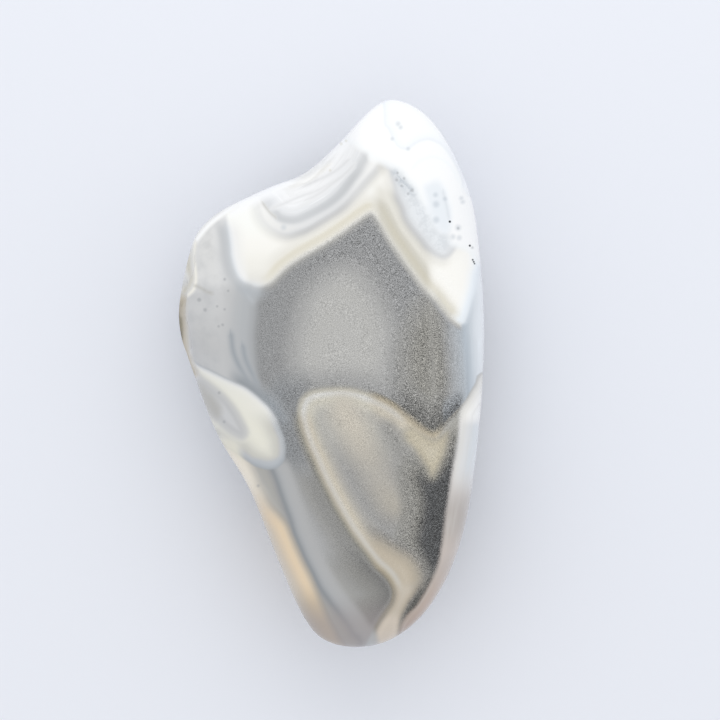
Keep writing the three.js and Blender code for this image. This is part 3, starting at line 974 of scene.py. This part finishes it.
def paint_right_band(opal):
    """The pale band along the right edge, its lower part darkened by painted shade and blushed by a painted
    warm reflection.
    """
    depth = opal.edge("right_band")
    # Its dips near -43 mm and -24 mm are painted shade, and the strong red blush is a painted warm
    # reflection.
    colour, _ = opal.ramp(opal.y, (
        (-45.0, 168, 24), (-43.0, 158, 26), (-39.0, 171, 27), (-35.0, 180, 22), (-32.0, 185, 17),
        (-29.0, 190, 16), (-26.0, 182, 13), (-22.0, 184, 10), (-17.6, 209, 7), (-11.0, 219, 2),
        (-6.0, 238, 4), (-2.0, 244, 0),
    ), blush=0.6)
    cover = opal.step(depth, -0.4, 0.65)
    opal.paint(cover, colour)
    opal.lay(depth, (
        (0.3, 218, 5, 0), (0.8, 221, 3, 0.9), (1.3, 223, 0), (2.0, 222, -4), (2.6, 222, -8), (3.3, 227, -9),
        (4.5, 230, -8),
    ), opal.within(opal.y, -21.0, -14.0, -9.0, -6.5))
    opal.lay(depth, (
        (-0.4, 164, 2, 0), (-0.1, 182, 4, 0.8), (0.25, 212, 5), (0.8, 232, 6), (1.5, 242, 4), (2.5, 246, 1),
    ), opal.step(opal.y, -9.0, -6.5))
    grown = opal.noise(opal.vector(opal.field("right_band"), opal.times(opal.y, 0.08)), 1.3, 2.0)
    opal.paint(opal.times(cover, opal.step(grown, 0.0, 0.2, 0.0, 0.4)), opal.mix(0.5, colour, shade(214, 4)))


def paint_lower_left(opal):
    """The crease of the lower left, darkened by painted shade, the cream strip, and a painted warm reflection
    at the foot.
    """
    below = opal.step(opal.y, -13.5, -15.5)
    # Darker along the crease between the face and the bevel: painted shade.
    opal.lay(opal.edge("crease_side", 0.1), (
        (-3.5, 172, 1, 0), (-2.6, 177, 0, 0.8), (-1.6, 179, -1), (-0.9, 175, -3), (-0.4, 163, -5),
        (0.0, 151, -6), (0.5, 160, 0), (1.1, 170, 5), (2.0, 175, 6), (4.0, 176, 6),
    ), below)
    depth = opal.edge("side_strip", 0.1)
    opal.lay(depth, (
        (-1.3, 174, 2, 0), (-0.65, 188, 10, 0.7), (0.0, 203, 16), (0.65, 222, 22), (1.3, 229, 24),
        (2.2, 230, 24), (4.0, 226, 14),
    ), opal.step(opal.y, -26.0, -17.0), blush=0.35)
    opal.lay(depth, (
        (-0.8, 158, 6, 0), (-0.4, 167, 14, 0.7), (0.0, 181, 25), (0.5, 201, 40), (0.9, 208, 48),
        (1.5, 207, 46), (2.4, 198, 32), (3.6, 197, 20), (5.0, 202, 13), (8.0, 204, 9),
    ), opal.step(opal.y, -17.0, -26.0), blush=0.42)
    opal.lay(depth, (
        (-0.7, 158, 8, 0), (-0.2, 168, 18, 0.9), (0.5, 184, 36), (1.1, 187, 41), (2.2, 184, 34),
        (3.6, 184, 20), (6.0, 194, 12),
    ), opal.step(opal.y, -34.0, -39.0), blush=0.42)
    # A faint warm tint at the foot: a painted reflection.
    foot = opal.times(opal.step(opal.y, -36.0, -42.0), opal.step(opal.field("lens"), 0.0, -0.8), 0.65)
    opal.paint(foot, shade(155, 8, 0.9))


def paint_oval(opal):
    """The cream oval on the left and its gray heart."""
    depth = opal.edge("left_oval")
    opal.lay(depth, (
        (-2.8, 180, -5, 0), (-1.7, 168, -8, 0.5), (-0.9, 158, -9, 0.9), (-0.3, 161, -8), (0.1, 178, -6),
    ), opal.times(opal.step(opal.x, -17.5, -14.5), opal.step(opal.y, -10.0, -6.0)))
    opal.lay(depth, (
        (-0.25, 176, -7, 0), (0.1, 178, -7, 0.8), (0.35, 184, -6), (0.66, 192, -5), (1.0, 195, 2),
        (1.33, 201, 8), (2.0, 209, 10), (2.66, 220, 12), (3.3, 227, 14), (4.3, 231, 14), (6.0, 232, 13),
    ), blush=0.16)
    bottom = opal.times(opal.step(opal.y, -13.3, -14.6), opal.step(opal.x, -13.8, -12.0))
    opal.lay(depth, (
        (-0.3, 168, -9, 0), (0.0, 174, -9, 0.9), (0.5, 186, -9), (1.2, 193, -5, 0.8), (2.2, 200, 4, 0),
    ), bottom)
    top = opal.step(opal.y, -9.5, -5.5)
    opal.lay(depth, (
        (-0.5, 176, -6, 0), (-0.2, 186, -5, 0.7), (0.0, 207, -3), (0.35, 227, 3), (0.7, 232, 8),
        (1.2, 231, 10), (2.6, 231, 12), (5.0, 230, 12),
    ), top, blush=0.16)
    by_strip = opal.times(opal.step(opal.x, -13.8, -16.0), opal.step(opal.y, -9.0, -11.5))
    opal.lay(depth, (
        (-0.8, 218, 22, 0), (0.0, 222, 20, 0.9), (1.0, 222, 16), (2.2, 221, 13, 0),
    ), by_strip, blush=0.2)
    opal.lay(opal.edge("oval_heart", 0.0), (
        (-0.8, 225, 12, 0), (-0.25, 217, 9, 0.7), (0.2, 206, 4), (0.7, 199, 1), (1.1, 197, 0),
        (1.6, 206, 0), (2.4, 206, 0),
    ), blush=0.16)
    opal.lay(opal.edge("heart_shade", 0.0), ((-0.8, 196, 2, 0), (0.0, 189, 4, 0.7), (0.8, 183, 6)))


def paint_strata(opal):
    """Fine bands along the sides and the back, which run on around the window."""
    drift = opal.noise(opal.place, 0.13, 2.0, 0.4)
    turns = opal.plus(opal.times(opal.field("grain_zone"), 0.30), opal.times(opal.height, 0.20))
    turns = opal.plus(turns, opal.times(drift, 3.0))
    wave = opal.maths("SINE", opal.times(turns, 2 * np.pi))
    beat = opal.step(opal.noise(opal.place, 0.09, 1.0), -0.2, 0.2, 0.3, 1.0)
    hidden = opal.times(opal.step(opal.field("upward"), 0.08, -0.16), beat)
    opal.paint(opal.times(hidden, opal.step(wave, 0.1, 0.9), 0.45), shade(236, 8))
    opal.paint(opal.times(hidden, opal.step(wave, -0.3, -1.0), 0.40), shade(172, 2))
    opal.paint(opal.times(hidden, opal.within(wave, -0.15, -0.05, 0.05, 0.15), 0.35), shade(186, 22))


def paint_broken_edge(opal):
    """The shoulder's bright rims and folds, a painted rim highlight and shade line, and the broken edge's
    brown rind.
    """
    facing_up = opal.facing_up
    opal.lay(opal.line("shoulder_rim"), ((-0.7, 240, 3, 0), (-0.25, 248, 3, 0.8), (0.0, 252, 3)), facing_up)
    # A painted highlight along the right rim.
    opal.lay(opal.line("rim_highlight"), ((-0.7, 250, -3, 0), (0.0, 254, -2, 0.9)), facing_up)
    opal.lay(opal.line("scar_ridge"), (
        (-0.6, 226, 6, 0), (-0.25, 230, 9, 0.7), (0.0, 241, 13, 0.9),
    ), facing_up)
    opal.lay(opal.line("scar_fold"), (
        (-0.9, 222, 8, 0), (-0.4, 212, 12, 0.7), (0.0, 202, 15, 0.9),
    ), facing_up)
    # A painted shade line below the step of a chip on the shoulder.
    opal.lay(opal.line("shoulder_crease"), ((-0.6, 192, 5, 0), (0.0, 178, 8, 0.6)), facing_up)
    upright = opal.times(opal.step(opal.height, 1.5, 5.0), opal.step(opal.height, 21.0, 18.5))
    lumps = opal.noise(opal.place, 0.30, 4.0, 0.65)
    rough = opal.times(lumps, opal.step(opal.field("upward"), 0.3, 0.0, 0.0, 5.0))
    rind = opal.plus(opal.field("rind"), rough)
    opal.unpolished = opal.times(opal.step(rind, -0.2, 0.5), upright)
    opal.lay(rind, (
        (-0.6, 204, 4, 0), (-0.2, 200, 10, 0.8), (0.2, 194, 16), (0.8, 181, 22), (1.3, 165, 21),
    ), upright, blush=0.35)
    patchy = opal.step(opal.noise(opal.place, 0.5, 4.0, 0.7), -0.08, 0.12)
    deep = opal.step(opal.plus(rind, opal.times(patchy, 0.6)), 1.2, 2.6)
    opal.paint(opal.times(deep, upright), opal.mix(patchy, opal.finish.rind, shade(104, 12)))
    rim = opal.step(opal.edge("rind_rim", 0.3), -0.2, 0.5)
    opal.paint(opal.times(rim, upright, 0.85), opal.mix(patchy, shade(136, 22), shade(104, 12)))


def paint_inclusions(opal):
    """The small blue, gray, rust and black inclusions."""
    facing_up = opal.facing_up
    opal.paint(opal.times(facing_up, opal.dots(opal.plan, BLUE_BLOBS, 0.4), 0.42), shade(190, -18))
    opal.paint(opal.times(facing_up, opal.dots(opal.plan, GRAY_DOTS, 0.22), 0.5), shade(150, -6))
    opal.paint(opal.times(facing_up, opal.dots(opal.plan, RUST_DOTS, 0.2), 0.6), shade(214, 20))
    opal.paint(opal.times(facing_up, opal.dots(opal.plan, BLACK_DOTS, 0.09)), shade(48, -8))


def grained_colour(opal):
    """The colour made darker and lighter grain by grain, most in the dark sand and hardly on the cream."""
    zone = opal.larger(opal.field("grain_zone"), opal.field("lens"))
    bright = opal.node("ShaderNodeRGBToBW")
    opal.feed(bright.inputs[0], opal.colour)
    level = bright.outputs[0]
    stripe = opal.step(opal.field("dark_stripe"), -0.5, 0.7)
    in_lens = opal.larger(opal.step(opal.field("lens"), -0.5, 1.0, 1.0, 0.85), stripe)
    by_tone = opal.plus(opal.step(level, 0.05, 0.20, 1.8, 0.0), opal.step(level, 0.12, 0.38, 3.2, 0.65))
    in_zone = opal.step(zone, -0.8, 1.5)
    off_left = opal.step(opal.x, -9.0, 0.0, 0.5, 1.0)
    up_or_right = opal.larger(opal.step(opal.y, -20.0, -8.0, 0.32, 1.0), opal.step(opal.x, 9.0, 13.0))
    or_in_lens = opal.larger(up_or_right, opal.step(opal.field("lens"), 0.2, 1.6, 0.0, 0.8))
    off_cap = opal.step(opal.field("arch"), -0.7, 1.2, 1.0, 0.12)
    off_fork = opal.step(opal.field("fork"), -0.4, 0.6, 1.0, 0.3)
    off_foot = opal.step(opal.y, -35.5, -29.0, 0.45, 1.0)
    off_band = opal.step(opal.field("right_band"), -0.3, 0.8, 1.0, 0.0)
    contrast = GRAIN_CONTRAST * opal.finish.grain
    grain = opal.times(
        opal.sand, by_tone, in_zone, off_left, or_in_lens, in_lens, off_cap, off_fork, off_foot, off_band,
        contrast,
    )
    stretched = opal.vector_maths("MULTIPLY", opal.plan, (1.3, 0.09, 0.0))
    in_window = opal.times(opal.step(opal.field("arch"), 0.0, -1.0), opal.step(opal.field("lens"), 0.0, -1.0))
    streaks = opal.times(opal.noise(stretched, 1.0, 2.0), opal.step(opal.x, 13.0, 17.0), in_window, 0.25)
    scale = opal.larger(opal.plus(opal.plus(grain, streaks), 1.0), 0.2)
    tint = opal.node("ShaderNodeVectorMath", operation="SCALE")
    opal.feed(tint.inputs[0], opal.colour)
    opal.feed(tint.inputs["Scale"], scale)
    return tint.outputs[0]


LAYERS = (
    paint_flank, paint_window, paint_around_lens, paint_right_side, paint_cap, paint_left_lobe,
    paint_right_lobe, paint_tip, paint_lens, paint_fork, paint_right_band, paint_lower_left, paint_oval,
    paint_strata, paint_broken_edge, paint_inclusions,
)


def opal_material(finish):
    material = bpy.data.materials.new("dendritic_opal")
    material.use_nodes = True
    material.node_tree.nodes.clear()
    opal = OpalRecipe(material, finish)
    for paint_layer in LAYERS:
        paint_layer(opal)
    surface = opal.node("ShaderNodeBsdfPrincipled")
    opal.feed(surface.inputs["Base Color"], grained_colour(opal))
    roughness = opal.step(opal.unpolished, 0.2, 0.7, finish.polish, RIND_ROUGHNESS)
    opal.feed(surface.inputs["Roughness"], roughness)
    surface.inputs["IOR"].default_value = OPAL_IOR
    output = opal.node("ShaderNodeOutputMaterial")
    opal.feed(output.inputs["Surface"], surface.outputs["BSDF"])
    return material


class OPAL_OT_stone(bpy.types.Operator):
    """Shape the polished stone and give it its markings"""

    bl_idname = "opal.stone"
    bl_label = "Polished stone"

    def execute(self, context):
        stone = ground_surface()
        knock_off_flakes(stone)
        mark_bands(stone)
        select_only(stone)
        bpy.ops.object.shade_smooth()
        stone.data.materials.clear()
        stone.data.materials.append(opal_material(context.scene.opal_finish))
        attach(stone, "root")
        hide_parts(STONE_NODE)
        return {"FINISHED"}


def add_camera(width):
    distance = (EYE_HEIGHT - RIM_LEVEL) * MM
    camera = bpy.data.cameras.new("camera")
    camera.sensor_fit = "HORIZONTAL"
    camera.sensor_width = SENSOR_WIDTH
    camera.lens = SENSOR_WIDTH * distance / width
    camera.clip_start = NEAREST_SEEN
    holder = bpy.data.objects.new("camera", camera)
    holder.location = (EYE_X * MM, EYE_Y * MM, EYE_HEIGHT * MM)
    bpy.context.scene.collection.objects.link(holder)
    bpy.context.scene.camera = holder


def add_softbox(name, place, aim, size, power):
    light = bpy.data.lights.new(name, "AREA")
    light.shape = "RECTANGLE"
    light.size, light.size_y = size
    light.energy = power
    holder = bpy.data.objects.new(name, light)
    holder.location = place
    holder.rotation_euler = (Vector(aim) - Vector(place)).to_track_quat("-Z", "Y").to_euler()
    holder.visible_camera = False
    bpy.context.scene.collection.objects.link(holder)


class OPAL_OT_stage(bpy.types.Operator):
    """Set up the floor, the light and the camera"""

    bl_idname = "opal.stage"
    bl_label = "Studio stage"

    def execute(self, context):
        studio = context.scene.opal_studio
        bpy.ops.object.select_all(action="DESELECT")
        bpy.ops.mesh.primitive_plane_add(size=FLOOR_SIZE, location=(0, 0, -FLOOR_DROP))
        floor = bpy.context.object
        floor.name = "floor"
        paper = bpy.data.materials.new("pale_paper")
        paper.use_nodes = True
        surface = paper.node_tree.nodes["Principled BSDF"]
        surface.inputs["Base Color"].default_value = (*studio.floor, 1.0)
        surface.inputs["Roughness"].default_value = PAPER_ROUGHNESS
        floor.data.materials.append(paper)
        world = bpy.data.worlds.new("studio")
        world.use_nodes = True
        sky = world.node_tree.nodes["Background"]
        sky.inputs["Color"].default_value = SKY_COLOUR
        sky.inputs["Strength"].default_value = studio.sky_strength
        context.scene.world = world
        add_softbox("softbox", SOFTBOX_PLACE, SOFTBOX_AIM, SOFTBOX_SIZE, studio.softbox_power)
        add_camera(studio.frame_width)
        context.scene.view_settings.view_transform = "Standard"
        return {"FINISHED"}


class OPAL_PT_sidebar(bpy.types.Panel):
    """Lists the steps"""

    bl_label = "Opal freeform"
    bl_idname = "OPAL_PT_sidebar"
    bl_space_type = "VIEW_3D"
    bl_region_type = "UI"
    bl_category = "Opal"

    def draw(self, context):
        for operator in (OPAL_OT_stone, OPAL_OT_stage):
            self.layout.operator(operator.bl_idname)
        for group in (context.scene.opal_finish, context.scene.opal_studio):
            for name in group.__annotations__:
                self.layout.prop(group, name)


CLASSES = (OpalFinish, OpalStudio, OPAL_OT_stone, OPAL_OT_stage, OPAL_PT_sidebar)


def register():
    for cls in CLASSES:
        bpy.utils.register_class(cls)
    bpy.types.Scene.opal_finish = bpy.props.PointerProperty(type=OpalFinish)
    bpy.types.Scene.opal_studio = bpy.props.PointerProperty(type=OpalStudio)


def unregister():
    del bpy.types.Scene.opal_studio
    del bpy.types.Scene.opal_finish
    for cls in reversed(CLASSES):
        bpy.utils.unregister_class(cls)


def main():
    register()
    bpy.ops.opal.stone()
    bpy.ops.opal.stage()


if __name__ == "__main__":
    main()
